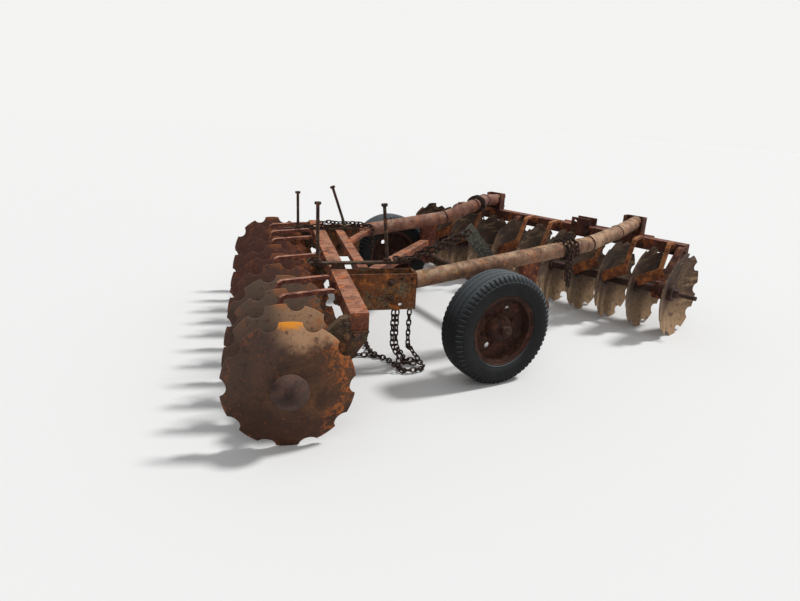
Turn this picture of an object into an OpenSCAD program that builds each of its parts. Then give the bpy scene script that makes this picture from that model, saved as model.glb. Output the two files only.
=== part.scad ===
// Offset disc harrow on two wheels: two gangs of notched discs set in a shallow V
// under square beams, joined by two cranked pipes, with a rockshaft that lowers the wheels.
// Millimetres. X points forward in the direction of travel, Y to the left, Z up from the ground.

/* [Discs] */
// Diameter of a disc over its tabs
disc_d = 610; // [560:5:660]
// Thickness of a disc
disc_t = 6; // [5:0.5:8]
// Radius of the sphere that a disc is pressed to
dish_r = 660; // [600:10:800]
// Distance from one disc to the next along a gang
disc_pitch = 250; // [230:5:280]
// Notches around a disc
notch_count = 10; // [8:1:12]
// Radius of a notch
notch_r = 48; // [40:1:60]
// Discs on each gang
disc_count = 11; // [8:1:13]
// Angle of each gang from square across
gang_angle = 15.4; // [8:0.2:22]

/* [Gang hardware] */
// Diameter of the bolt that runs through a gang
gang_bolt_d = 32; // [25:1:40]
// Diameter of a spool between its flanges
spool_d = 60; // [50:1:80]
// Diameter of a spool's flanges
spool_flange_d = 104; // [90:1:130]
// Thickness of a spool's flange
spool_flange_t = 16; // [8:1:25]
// Diameter of a bearing housing
housing_d = 128; // [110:1:150]
// Length of a bearing housing
housing_len = 70; // [50:1:90]
// Diameter of the domed end washer
dome_d = 176; // [150:1:200]
// Height of the domed end washer
dome_h = 58; // [30:1:70]

/* [Gang beams] */
// Side of the square gang beam
beam_size = 89; // [75:1:100]
// Wall of the gang beam
beam_wall = 8; // [5:0.5:12]
// Height of the gang beam's top face
beam_top = 609; // [590:1:640]
// Distance of the beam's middle ahead of the gang bolt
beam_ahead = 330; // [300:5:380]
// Overhang of a beam past the bearing hangers at its ends
beam_overhang = 14; // [5:1:60]

/* [Layout] */
// Front gang's first disc ahead of the rear gang's first disc
front_ahead = 3045; // [2900:5:3300]
// Front gang's first disc to the left of the rear gang's first disc
front_left = 327; // [250:5:400]

/* [Main pipes] */
// Outside diameter of a main pipe
pipe_d = 102; // [90:1:115]
// Wall of a main pipe
pipe_wall = 7; // [4:0.5:10]
// Height of the pipes' axis at the rear plates
pipe_rear_h = 560; // [550:1:575]
// Height of the right pipe's axis at its first bend
pipe_front_h = 683; // [670:1:700]
// Height of the right pipe's axis over the front beam
right_end_h = 706; // [695:1:720]
// Height of the left pipe's axis over the front beam
left_end_h = 694; // [685:1:710]

/* [Wheels] */
// Diameter of a tyre
tyre_d = 662; // [640:2:690]
// Width of a tyre
tyre_w = 200; // [180:2:226]
// Diameter of the rim's flanges
rim_d = 418; // [400:2:430]
// Distance of the right wheel's axle behind the rockshaft
right_arm_back = 480; // [460:1:500]
// Distance of the left wheel's axle behind the rockshaft
left_arm_back = 262; // [240:1:280]
// Place of the right wheel's middle to the left of the rear gang's first disc
right_wheel_y = 224; // [200:2:230]
// Place of the left wheel's middle to the left of the rear gang's first disc
left_wheel_y = 2008; // [2006:2:2060]

/* [Rockshaft] */
// Outside diameter of the rockshaft
rock_d = 76; // [60:1:90]
// Height of the rockshaft's axis
rock_h = 335; // [325:1:350]
// Place of the rockshaft ahead of the rear gang's first disc
rock_x = 1800; // [1780:5:1820]

/* [Hidden] */
$fn = 48;
running_fit = 0.08;
seat_gap = 0.15;

disc_r = disc_d / 2;
hub_h = disc_r;
dish = dish_r - sqrt(dish_r * dish_r - disc_r * disc_r);
gang_len = (disc_count - 1) * disc_pitch;
// How much further forward the front beam's corner makes the box, and the box's middle
box_lead = 16.9;
box_mid = [front_ahead / 2 + box_lead, (front_left + cos(gang_angle) * gang_len) / 2];
bolt_r = gang_bolt_d / 2;
rust = [0.42, 0.24, 0.16];
dark_rust = [0.30, 0.18, 0.13];
tan_rust = [0.55, 0.42, 0.28];
lichen = [0.35, 0.33, 0.24];
rubber = [0.10, 0.10, 0.11];

// Frames of the two gangs: x forward of the gang bolt, y along it from the right, z up
module machine() translate([-box_mid[0], -box_mid[1], 0]) children();
module at_rear() machine() rotate([0, 0, -gang_angle]) children();
module at_front() machine() translate([front_ahead, front_left, 0]) rotate([0, 0, gang_angle]) children();
// The front gang is the rear gang turned about: its discs face the right side
module front_gang_frame() at_front() translate([0, gang_len, 0]) mirror([0, 1, 0]) children();
function rear_xy(s, f) = [sin(gang_angle) * s + cos(gang_angle) * f,
    cos(gang_angle) * s - sin(gang_angle) * f];
function front_xy(s, f) = [front_ahead - sin(gang_angle) * s + cos(gang_angle) * f,
    front_left + cos(gang_angle) * s + sin(gang_angle) * f];

// Turns +Z to the direction v
module along(v) rotate([0, acos(v[2] / norm(v)), atan2(v[1], v[0])]) children();
module rod(a, b, d) translate(a) along(b - a) cylinder(d = d, h = norm(b - a));
// A flat bar bent in the x-z plane: points of its middle line, thickness t, width w along y
function unit(v) = v / norm(v);
function side(p, i) = let (a = i > 0 ? unit(p[i] - p[i - 1]) : unit(p[1] - p[0]),
    b = i < len(p) - 1 ? unit(p[i + 1] - p[i]) : a, m = unit(a + b)) [-m[1], m[0]] / (m * a);
module bent_bar(p, t, w) rotate([90, 0, 0]) linear_extrude(w, center = true)
    polygon(concat([for (i = [0:len(p) - 1]) p[i] + side(p, i) * t / 2],
        [for (i = [len(p) - 1:-1:0]) p[i] - side(p, i) * t / 2]));
// Ring profile from a to b along the gang bolt, turned about it at hub height
module about_bolt() translate([0, 0, hub_h]) rotate([-90, 0, 0]) rotate_extrude() children();

// One notched disc, its rim at y = 0, hollow side towards +y
module disc(turn) translate([0, 0, hub_h]) rotate([-90, 0, 0]) rotate([0, 0, turn]) difference() {
    rotate_extrude() intersection() {
        translate([0, dish_r - dish]) difference() {
            circle(r = dish_r + disc_t, $fn = 96);
            circle(r = dish_r, $fn = 96);
        }
        translate([bolt_r + seat_gap, -dish - 2 * disc_t])
            square([disc_r - bolt_r - seat_gap, dish + 2 * disc_t]);
    }
    for (k = [0:notch_count - 1]) rotate([0, 0, 90 + (k + 0.5) * 360 / notch_count])
        translate([disc_r + notch_out, 0, -2 * dish]) cylinder(r = notch_r, h = 3 * dish);
}
// How far a notch's centre is outside the rim, and how far each disc is turned on the bolt
notch_out = 17;
disc_turns = [2, -9, -7, 5, -8, 3, -4, 8, -6, 9, 0];
module discs() for (i = [0:disc_count - 1]) translate([0, i * disc_pitch, 0]) disc(disc_turns[i % 11]);

// One spool from the hollow face of its disc to the round back of the next
module spool() about_bolt() difference() {
    intersection() {
        union() {
            translate([0, -dish]) square([spool_d / 2, disc_pitch]);
            translate([0, -dish]) square([spool_flange_d / 2, spool_flange_t]);
            translate([0, disc_pitch - dish - disc_t - spool_flange_t])
                square([spool_flange_d / 2, spool_flange_t + 3]);
        }
        translate([0, dish_r - dish]) circle(r = dish_r - seat_gap, $fn = 96);
    }
    translate([0, disc_pitch + dish_r - dish]) circle(r = dish_r + disc_t + seat_gap, $fn = 96);
    translate([0, -2 * dish]) square([bolt_r + seat_gap, 2 * disc_pitch]);
}
module spools() for (i = [0:disc_count - 2]) translate([0, i * disc_pitch, 0]) spool();

// Gang bolt with its domed washer on the round side, and its end washer and nut on the hollow side
bolt_tail = 118;
end_washer_d = 118;
end_washer_t = 34;
nut_d = 62;
nut_h = 36;
dome_r = (dome_d * dome_d / 4 + dome_h * dome_h) / (2 * dome_h);
dome_base = -dish - disc_t;
last_face = gang_len - dish;
module gang_bolt() {
    about_bolt() {
        translate([0, dome_base - dome_h]) square([bolt_r, gang_len - dome_base + dome_h + bolt_tail]);
        difference() {
            intersection() {
                translate([0, dome_base - dome_h + dome_r]) circle(r = dome_r, $fn = 96);
                translate([0, dome_base - dome_h]) square([dome_d / 2, 2 * dome_h]);
            }
            translate([0, dish_r - dish]) circle(r = dish_r + disc_t + seat_gap, $fn = 96);
        }
        intersection() {
            translate([0, last_face]) square([end_washer_d / 2, end_washer_t]);
            translate([0, last_face + dish_r]) circle(r = dish_r - seat_gap, $fn = 96);
        }
    }
    translate([0, last_face + end_washer_t, hub_h]) rotate([-90, 0, 0])
        cylinder(d = nut_d, h = nut_h, $fn = 6);
}

// Bearing hanger: a tapered plate from the beam down to a housing around a spool
hanger_gaps = [0, 5, 9];
hanger_s = 100;
hanger_t = 50;
hanger_step = 44;
hanger_in = 12;
beam_bottom = beam_top - beam_size;
module hanger() translate([0, hanger_s, 0]) difference() {
    union() {
        translate([0, 0, hub_h]) rotate([90, 0, 0]) cylinder(d = housing_d, h = housing_len, center = true);
        rotate([90, 0, 0]) linear_extrude(hanger_t, center = true) polygon([
            [beam_rear, beam_top - hanger_in], [beam_rear, beam_bottom],
            [beam_rear + beam_size, beam_bottom],
            [beam_rear + beam_size - hanger_in, beam_bottom - beam_size / 2],
            [beam_rear - hanger_step, hub_h],
            [0, hub_h - housing_d / 2 + hanger_in], [0, hub_h + housing_d / 2 - hanger_in],
            [beam_rear - hanger_step, beam_top - 2 * hanger_in]]);
    }
    translate([0, 0, hub_h]) rotate([90, 0, 0])
        cylinder(r = spool_d / 2 + running_fit, h = housing_len + 60, center = true);
}
module hangers(gaps) for (g = gaps) translate([0, g * disc_pitch, 0]) hanger();

// The beam is closed at both ends and drains through a hole underneath
beam_cap_t = 8;
drain_d = 16;
drain_in = 60;
module gang_beam() difference() {
    beam_from = hanger_s - beam_overhang;
    beam_len = (disc_count - 2) * disc_pitch + 2 * beam_overhang;
    bore = beam_size - 2 * beam_wall;
    translate([beam_rear, beam_from, beam_bottom]) cube([beam_size, beam_len, beam_size]);
    translate([beam_rear + beam_wall, beam_from + beam_cap_t, beam_bottom + beam_wall])
        cube([bore, beam_len - 2 * beam_cap_t, bore]);
    translate([beam_ahead, beam_from + beam_len - drain_in, beam_bottom - 1])
        cylinder(d = drain_d, h = beam_wall + 2);
}

// Scrapers: an arm swung from the beam towards the hollow face, and a blade cut to that face
arm_w = 30;
arm_t = 20;
blade_clear = 6;
beam_rear = beam_ahead - beam_size / 2;
// Keeps what lies inside the dish of the disc at the start of a gap, clear of its face
module clear_of_disc() intersection() {
    children();
    translate([0, dish_r - dish, hub_h]) sphere(r = dish_r - blade_clear, $fn = 96);
}
foot_t = 12;
foot_w = 46;
foot_h = 52;
foot_up = 26;
arm_out_t = 18;
arm_rise = 16;
knee_r = 40;
heel_r = 34;
// An arm from the beam's rear face: its place in the gap, its swing in plan, its length, its drop and
// how far back it leans as it drops
module scraper_arm(from, swing, len, drop, lean) {
    translate([beam_rear - foot_t, from - foot_w / 2, beam_bottom + foot_up]) cube([foot_t, foot_w, foot_h]);
    knee = [-arm_out_t - knee_r, beam_top + arm_rise - knee_r];
    heel = [heel_r - len, beam_top + arm_rise - heel_r];
    translate([beam_rear, from, 0]) rotate([0, 0, swing]) bent_bar(concat(
        [[-arm_out_t, beam_bottom + foot_h]], [for (a = [0:22.5:90]) knee + knee_r * [cos(a), sin(a)]],
        [for (a = [90, 110, 130]) heel + heel_r * [cos(a), sin(a)]],
        [[-len - lean, beam_top - drop]]), arm_t, arm_w);
}
rear_scraper_gaps = [1, 2, 4, 6, 7, 8];
rear_blade = [8, 116, 118];
rear_blade_at = [-58, -60, 78];
rear_blade_turn = -8;
module rear_scraper() {
    scraper_arm(160, 17.6, 330, 130, 26);
    clear_of_disc() translate([0, 0, hub_h]) translate(rear_blade_at)
        rotate([0, 0, rear_blade_turn]) cube(rear_blade);
}
// Front scrapers: the gap, and how far ahead of and above the others each one stands
front_scraper_rows = [[1, 0, 0], [2, 0, 0], [4, 0, 0], [5, 0, 0], [7, 0, 0], [8, 0, 0], [9, 62, 14]];
front_blade_t = 8;
front_blade_w = 74;
front_blade_from = [-62, 104, 122];
front_blade_to = [-128, -56, 28];
module front_scraper(ahead, up) {
    scraper_arm(30, -10, 236 - ahead, 186 - up, 122);
    clear_of_disc() translate([ahead, 0, hub_h + up])
        bar(front_blade_from, front_blade_to, front_blade_t, front_blade_w);
}

// Main pipes, each from its rear box over two mitres to its mount on the front beam
plate_t = 12;
plate_from = beam_ahead + beam_size / 2;
right_plate_s = [745, 852];
left_plate_s = [2020, 2170];
right_plate_front = 768;
left_plate_front = 640;
right_y = 550;
left_y = 1830;
slope_x = 960;
first_bend_x = 2300;
right_mount_s = 572;
left_mount_s = 1971;
mount_f = beam_ahead + 10;
pipe_over = 80;
right_end = concat(front_xy(right_mount_s, mount_f), [right_end_h]);
left_end = concat(front_xy(left_mount_s, mount_f), [left_end_h]);
pipe_slope = (pipe_front_h - pipe_rear_h) / (first_bend_x - slope_x);
function pipe_h(x) = pipe_rear_h + pipe_slope * (x - slope_x);
// Where a pipe at y meets the front of its rear box
function pipe_start_x(y, f) = (f + y * sin(gang_angle)) / cos(gang_angle);
function pipe_start(y, f) = let (a = pipe_start_x(y, f)) [a, y, pipe_h(a)];
// Bends of the pipes: the right one turns in towards its mount, the left one first turns up
right_path = [pipe_start(right_y, right_plate_front), [first_bend_x, right_y, pipe_front_h],
    [2760, 738, 695], right_end];
left_path = [pipe_start(left_y, left_plate_front), [1950, left_y, pipe_h(1950)],
    [2235, left_y + 2, 738], [2572, 2150, 722], left_end];
rear_face = [-cos(gang_angle), sin(gang_angle), 0];
front_face = [cos(gang_angle), sin(gang_angle), 0];
// All that lies beyond a, looking along v
module beyond(a, v) translate(a) along(v) translate([-2 * pipe_d, -2 * pipe_d, 0])
    cube([4 * pipe_d, 4 * pipe_d, 2 * pipe_over]);
// Room for a pipe with a ring at each bend, cut off at the rear box and at the front mount
module pipe_solid(p, d, ring) difference() {
    last = len(p) - 1;
    union() {
        for (i = [0:last - 1]) {
            dir = unit(p[i + 1] - p[i]);
            rod(p[i] - (i == 0 ? pipe_over * dir : [0, 0, 0]),
                p[i + 1] + (i == last - 1 ? pipe_over * dir : [0, 0, 0]), d);
        }
        for (i = [1:last - 1]) translate(p[i]) sphere(d = ring);
    }
    beyond(p[0], rear_face);
    beyond(p[last], front_face);
}
weld_ring = 5;
// One length of pipe, cut off at the mitres of its bends, at the rear box and at the front mount
module pipe_leg(p, i) difference() {
    last = len(p) - 2;
    dir = unit(p[i + 1] - p[i]);
    back = i == 0 ? rear_face : -unit(dir + unit(p[i] - p[i - 1]));
    ahead = i == last ? front_face : unit(dir + unit(p[i + 2] - p[i + 1]));
    rod(p[i] - pipe_over * dir, p[i + 1] + pipe_over * dir, pipe_d);
    rod(p[i] - 2 * pipe_over * dir, p[i + 1] + 2 * pipe_over * dir, pipe_d - 2 * pipe_wall);
    beyond(p[i] - (i == 0 ? 0 : seat_gap / 2) * back, back);
    beyond(p[i + 1] - (i == last ? 0 : seat_gap / 2) * ahead, ahead);
}
module main_pipe(p) for (i = [0:len(p) - 2]) pipe_leg(p, i);

// Rear boxes: two side plates and an end plate carry each pipe from the rear beam
plate_bottom = 395;
plate_hole_d = 22;
plate_hole_in = 32;
// Holes of a side plate: distance behind its front edge, and whether it is in the upper row
plate_holes = [[344, 0], [92, 0], [92, 1], [28, 1]];
module side_plates(s, front) difference() {
    high = beam_top - plate_bottom;
    union() {
        for (from = [s[0] - plate_t, s[1]])
            translate([plate_from, from, plate_bottom]) cube([front - plate_from, plate_t, high]);
        translate([front - plate_t, s[0] - plate_t, plate_bottom])
            cube([plate_t, s[1] - s[0] + 2 * plate_t, high]);
    }
    for (hole = plate_holes) if (front - hole[0] > plate_from + plate_hole_in)
        translate([front - hole[0], s[0] - 2 * plate_t,
            hole[1] == 0 ? plate_bottom + plate_hole_in : beam_top - plate_hole_in])
            rotate([-90, 0, 0]) cylinder(d = plate_hole_d, h = s[1] - s[0] + 4 * plate_t);
}

// Clamp bars lie across the rear beam, in line with the plates
clamp_w = 40;
clamp_h = 12;
// Clamp bars: place along the beam, rear end, front end, the places of two bolts and the packing's height
right_clamp = [878, 165, 752, 212, 620, 26];
left_clamp = [1994, 70, 632, 175, 528, 0];
bolt_hole_d = 22;
module clamp_bar(row) translate([0, row[0], beam_top]) difference() {
    union() {
        translate([row[1], -clamp_w / 2, row[5]]) cube([row[2] - row[1], clamp_w, clamp_h]);
        if (row[5] > 0)
            translate([beam_rear + 8, -clamp_w / 2, 0]) cube([beam_size - 16, clamp_w, row[5] + 1]);
    }
    for (f = [row[3], row[4]]) translate([f, 0, row[5] - 1]) cylinder(d = bolt_hole_d, h = clamp_h + 2);
}
// Long bolts left standing up in the clamp bars: clamp, which of its bolts, length above, lean in degrees
// Foot below the bar's top, head and nut: diameter or length, and height
long_bolt_d = 20;
long_bolt_foot = 12;
long_bolt_head = [38, 15];
long_bolt_nut = [42, 16];
long_bolt_rows = [[right_clamp, 3, 342, 0], [right_clamp, 4, 336, -5],
    [left_clamp, 3, 264, 0], [left_clamp, 4, 322, -18.5]];
module long_bolt(clamp, which, up, lean) translate([clamp[which], clamp[0], beam_top + clamp[5] + clamp_h]) {
    translate([0, 0, -long_bolt_foot]) cylinder(d = long_bolt_d, h = long_bolt_foot);
    cylinder(d = long_bolt_nut[0], h = long_bolt_nut[1], $fn = 6);
    translate([0, 0, long_bolt_nut[1] / 3]) rotate([0, lean, 0]) {
        cylinder(d = long_bolt_d, h = up);
        translate([0, 0, up - long_bolt_head[1]])
            cylinder(d = long_bolt_head[0], h = long_bolt_head[1], $fn = 6);
    }
}

// Cross bar between the rear boxes, and a short tie to the left pipe
cross_f = 480;
cross_w = 60;
cross_h = 40;
module rear_cross_bar() color(rust) at_rear()
    translate([cross_f - cross_w / 2, right_plate_s[1] + plate_t, beam_top - cross_h])
        cube([cross_w, left_plate_s[0] - right_plate_s[1] - 2 * plate_t, cross_h]);

module rear_gang_beam() color(rust) at_rear() gang_beam();
module front_gang_beam() color(rust) front_gang_frame() gang_beam();
module right_main_pipe() color(rust) machine() main_pipe(right_path);
module left_main_pipe() color(rust) machine() main_pipe(left_path);
module right_clamp_bar() color(dark_rust) at_rear() clamp_bar(right_clamp);
module left_clamp_bar() color(dark_rust) at_rear() clamp_bar(left_clamp);
module right_side_plates() color(lichen) at_rear() side_plates(right_plate_s, right_plate_front);
module left_side_plates() color(lichen) at_rear() side_plates(left_plate_s, left_plate_front);
module long_bolts() color(dark_rust) at_rear() for (r = long_bolt_rows) long_bolt(r[0], r[1], r[2], r[3]);
// A flat-sided bar from a to b, w wide and h high
module bar(a, b, w, h) translate(a) along(b - a) translate([-h / 2, -w / 2, 0]) cube([h, w, norm(b - a)]);
tie_s = 1570;
tie_h = 24;
tie_w = 50;
// How far past the left box the tie meets the pipe
tie_past = 94;
module rear_tie_bar() color(rust) machine() difference() {
    bar(concat(rear_xy(tie_s, cross_f), [beam_top - tie_h / 2]),
        [left_path[0][0] + tie_past, left_y, beam_top - tie_h], tie_w, tie_h);
    rotate([0, 0, -gang_angle]) translate([plate_from, 0, plate_bottom])
        cube([cross_f + cross_w / 2 - plate_from, gang_len, 2 * plate_bottom]);
    pipe_solid(left_path, pipe_d + 2 * seat_gap, pipe_d + weld_ring + 2 * seat_gap);
}

// Brace from the right rear box forward to the left pipe
brace_w = 64;
brace_h = 50;
// Width of a rockshaft hanger, and the brace's end ahead of and above the rockshaft
hanger_w = 40;
brace_end_back = 36;
brace_end_up = 118;
brace_from = [765, 726, 574];
brace_to = [rock_x - brace_end_back, left_y - hanger_w / 2, rock_h + brace_end_up];
module diagonal_brace() color(rust) machine() difference() {
    bar(brace_from, brace_to, brace_w, brace_h);
    translate([0, left_y - hanger_w / 2 - seat_gap, 0]) cube([2 * rock_x, pipe_d, 2 * rock_h]);
    rotate([0, 0, -gang_angle]) translate([0, 0, plate_bottom])
        cube([cross_f + cross_w / 2, 2 * right_plate_s[1], 2 * plate_bottom]);
    rotate([0, 0, -gang_angle]) translate([plate_from, 0, plate_bottom])
        cube([right_plate_front, right_plate_s[1] + plate_t, 2 * plate_bottom]);
}

// Mounts of the pipes' front ends: a channel standing on the front beam behind each end
mount_w = 164;
mount_t = 12;
mount_deep = 56;
mount_top = 760;
module front_pipe_mounts() color(rust) at_front() for (s = [right_mount_s, left_mount_s]) {
    up = mount_top - beam_top;
    translate([mount_f, s - mount_w / 2, beam_top]) cube([mount_t, mount_w, up]);
    for (side = [s - mount_w / 2, s + mount_w / 2 - mount_t])
        translate([mount_f - mount_deep, side, beam_top]) cube([mount_deep, mount_t, up]);
}

// Hitch bracket: a plate on each face of the front beam with a pin hole above it
hitch_s = 1020;
hitch_w = 175;
hitch_t = 14;
hitch_up = 66;
hitch_down = 72;
hitch_in = 34;
hitch_hole_d = 32;
hitch_hole_in = 36;
module hitch_bracket() color(rust) at_front() translate([0, hitch_s, 0]) difference() {
    for (f = [beam_rear - hitch_t, beam_rear + beam_size])
        translate([f, 0, beam_top]) rotate([90, 0, 90]) linear_extrude(hitch_t) polygon([
            [-hitch_w / 2, hitch_up], [-hitch_w / 2, hitch_in - hitch_down],
            [hitch_in - hitch_w / 2, -hitch_down], [hitch_w / 2 - hitch_in, -hitch_down],
            [hitch_w / 2, hitch_in - hitch_down], [hitch_w / 2, hitch_up]]);
    translate([beam_rear - 2 * hitch_t, hitch_w / 2 - hitch_hole_in, beam_top + hitch_up - hitch_hole_in])
        rotate([0, 90, 0]) cylinder(d = hitch_hole_d, h = beam_size + 4 * hitch_t);
}
tow_bar_d = 50;
tow_bar_from = 440;
tow_bar_to = 1250;
module hitch_cross_bar() color(dark_rust) at_front()
    translate([beam_rear + beam_size + hitch_t + tow_bar_d / 2 + seat_gap, tow_bar_from, beam_top - 20])
        rotate([-90, 0, 0]) cylinder(d = tow_bar_d, h = tow_bar_to - tow_bar_from);

module rear_hangers() color(lichen) at_rear() hangers(hanger_gaps);
module front_hangers() color(rust) front_gang_frame() hangers([0, 3, 9]);
module rear_scrapers() color(rust) at_rear()
    for (g = rear_scraper_gaps) translate([0, g * disc_pitch, 0]) rear_scraper();
module front_scrapers() color(tan_rust) front_gang_frame()
    for (row = front_scraper_rows) translate([0, row[0] * disc_pitch, 0]) front_scraper(row[1], row[2]);
module rear_discs() color(rust) at_rear() discs();
module rear_spools() color(dark_rust) at_rear() spools();
module rear_gang_bolt() color(dark_rust) at_rear() gang_bolt();
module front_discs() color(tan_rust) front_gang_frame() discs();
module front_spools() color(dark_rust) front_gang_frame() spools();
module front_gang_bolt() color(dark_rust) front_gang_frame() gang_bolt();

// Rockshaft, its hangers under the pipes, the lift lever and the wheel arms
rock_from = right_wheel_y + tyre_w / 2 + 60;
rock_to = left_wheel_y - tyre_w / 2 - 16;
shaft_eye_wall = 18;
// Half the length of a hanger at the shaft and under the pipe
hanger_foot = 45;
hanger_head = 75;
module rockshaft_hangers() color(rust) machine() for (y = [right_y, left_y]) difference() {
    union() {
        translate([0, y, 0]) arm_pin(rock_x, rock_h, rock_d + 2 * shaft_eye_wall, hanger_w);
        translate([rock_x, y, 0]) rotate([90, 0, 0]) linear_extrude(hanger_w, center = true) polygon([
            [-hanger_foot, rock_h], [hanger_foot, rock_h], [hanger_head, pipe_h(rock_x) - pipe_d / 4],
            [-hanger_head, pipe_h(rock_x) - pipe_d / 4]]);
    }
    translate([rock_x, y, rock_h]) rotate([90, 0, 0])
        cylinder(r = rock_d / 2 + running_fit, h = hanger_w + 2, center = true);
    pipe_solid(y == right_y ? right_path : left_path, pipe_d + 2 * seat_gap, pipe_d + weld_ring);
}
module rockshaft_tube() color(dark_rust) machine() translate([rock_x, rock_from, rock_h])
    rotate([-90, 0, 0]) cylinder(d = rock_d, h = rock_to - rock_from);
lever_y = 640;
lever_t = 20;
lever_w = 84;
lever_top = [1352, 824];
lever_eye_wall = 20;
lever_hole_d = 22;
lever_hole_in = 32;
// A round boss or bore square to the side of the machine: place, height, diameter and length
module arm_pin(x, h, d, len) translate([x, 0, h]) rotate([90, 0, 0]) cylinder(d = d, h = len, center = true);
module lift_lever() color(lichen) machine() translate([0, lever_y, 0]) difference() {
    hole = lever_top + unit([rock_x, rock_h] - lever_top) * lever_hole_in;
    union() {
        arm_pin(rock_x, rock_h, rock_d + 2 * lever_eye_wall, lever_t);
        bent_bar([[rock_x, rock_h], lever_top], lever_w, lever_t);
    }
    arm_pin(rock_x, rock_h, rock_d, lever_t + 2);
    arm_pin(hole[0], hole[1], lever_hole_d, lever_t + 2);
}
axle_h = tyre_d / 2;
spindle_d = 45;
arm_plate_t = 20;
arm_h = 64;
eye_wall = 22;
// Wheels: which side, the wheel's middle, its axle's place and the middle of its arm
wheel_rows = [[-1, right_wheel_y, rock_x - right_arm_back, rock_from + arm_plate_t / 2],
    [1, left_wheel_y, rock_x - left_arm_back, rock_to - arm_plate_t / 2]];
module wheel_arm(axle_x) difference() {
    union() {
        bent_bar([[rock_x, rock_h], [axle_x, axle_h]], arm_h, arm_plate_t);
        arm_pin(rock_x, rock_h, rock_d + 2 * eye_wall, arm_plate_t);
        arm_pin(axle_x, axle_h, spindle_d + 2 * eye_wall, arm_plate_t);
    }
    arm_pin(rock_x, rock_h, rock_d, arm_plate_t + 2);
    arm_pin(axle_x, axle_h, spindle_d, arm_plate_t + 2);
}
module wheel_arms() color(dark_rust) machine()
    for (row = wheel_rows) translate([0, row[3], 0]) wheel_arm(row[2]);
hub_len = 130;
hub_d = 96;
spindle_past = 40;
module wheel_spindles() color(dark_rust) machine() for (row = wheel_rows)
    translate([row[2], row[3] - row[0] * arm_plate_t / 2, axle_h]) rotate([-90 * row[0], 0, 0])
        cylinder(d = spindle_d, h = abs(row[1] - row[3]) + arm_plate_t / 2 + spindle_past);

// Wheel parts about their own axle, outer side towards -y
function wheel_row(side) = wheel_rows[side > 0 ? 1 : 0];
module about_axle(side) machine() translate([wheel_row(side)[2], wheel_row(side)[1], axle_h])
    rotate([side > 0 ? -90 : 90, 0, 0]) children();
bead_r = rim_d / 2 - 16;
tread_r = tyre_d / 2;
half_w = tyre_w / 2;
// Outlines from the axle outwards: distance from the axle and place across the wheel
module tyre(side) color(rubber) about_axle(side) rotate_extrude() polygon([
    [bead_r, -bead_half], [bead_r + 40, 14 - half_w], [bead_r + 75, -half_w], [tread_r - 34, 8 - half_w],
    [tread_r - 9, 30 - half_w], [tread_r, -40], [tread_r, 40], [tread_r - 9, half_w - 30],
    [tread_r - 34, half_w - 8], [bead_r + 75, half_w], [bead_r + 40, half_w - 14], [bead_r, bead_half]]);
bead_half = 62;
flange_half = 78;
rim_t = 8;
hand_hole_d = 34;
hand_hole_r = 120;
module rim(side) color(rust) about_axle(side) difference() {
    rotate_extrude() polygon([[bead_r - rim_t, 8 - flange_half], [rim_d / 2, -flange_half],
        [rim_d / 2, 6 - flange_half], [bead_r, -bead_half - seat_gap], [bead_r, bead_half + seat_gap],
        [rim_d / 2, flange_half - 6], [rim_d / 2, flange_half], [bead_r - rim_t, flange_half - 8],
        [bead_r - rim_t, 12], [hub_d / 2 + seat_gap, 4], [hub_d / 2 + seat_gap, -4], [bead_r - rim_t, 2]]);
    for (a = [60, 240]) rotate([0, 0, a]) translate([hand_hole_r, 0, -rim_d / 4])
        cylinder(d = hand_hole_d, h = rim_d / 2);
}
module hub(side) color(dark_rust) about_axle(side) difference() {
    union() {
        translate([0, 0, -hub_len / 2]) cylinder(d = hub_d, h = hub_len);
        translate([0, 0, hub_len / 2]) cylinder(d = 62, h = 34);
    }
    translate([0, 0, -hub_len]) cylinder(r = spindle_d / 2 + running_fit, h = hub_len + hub_len / 2 + 20);
}

// Chains of plain links, each turned a quarter from the one before it
link_len = 80;
link_w = 32;
link_wire = 11;
link_pitch = 70;
link_seat = 0.3;
lying_h = link_w / 2 + link_seat;
module chain_link() cube([link_w, link_wire, link_len], center = true);
// Links along the points of p
module chain(p) for (i = [0:len(p) - 2]) {
    span = p[i + 1] - p[i];
    links = ceil(norm(span) / link_pitch);
    for (j = [0:links - 1]) translate(p[i] + span * (j + 0.5) / links) along(span)
        rotate([0, 0, 90 * ((i + j) % 2)]) chain_link();
}
// Turns of chain around the pipe that runs from a towards b, starting some way along it
wrap_links = 7;
wrap_r = pipe_d / 2 + link_w / 2 + link_seat;
wrap_pitch = 40;
module wrap(a, b, from, turns) translate(a) along(b - a) for (j = [0:turns * wrap_links - 1])
    rotate([0, 0, j * 360 / wrap_links]) translate([wrap_r, 0, from + wrap_pitch * j / wrap_links])
        rotate([90, 0, 0]) rotate([0, 0, 90 * (j % 2)]) chain_link();

clamp_lying_h = beam_top + clamp_h + lying_h;
right_lying_h = clamp_lying_h + right_clamp[5];
// The lift chain's two strands run beside the lever, then lie on the right clamp bar
chain_by_lever = lever_y - lever_t / 2 - link_w / 2 - 6;
function on_clamp(s, f) = concat(rear_xy(s, f), [right_lying_h]);
// Each strand: how far below the lever's top it starts, and its place along the beam at the far end
lift_strands = [[0, 896], [34, 861]];
module lift_chain() color(dark_rust) machine() for (row = lift_strands) chain([
    [lever_top[0] - 4, chain_by_lever, lever_top[1] - row[0]],
    [1120, chain_by_lever, 742 - row[0]], [1024, 634 - row[0] / 2, 700 - row[0] / 2],
    on_clamp(row[1], 776), on_clamp(row[1], 708), on_clamp(row[1], 676)]);
right_wrap_x = 2050;
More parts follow.
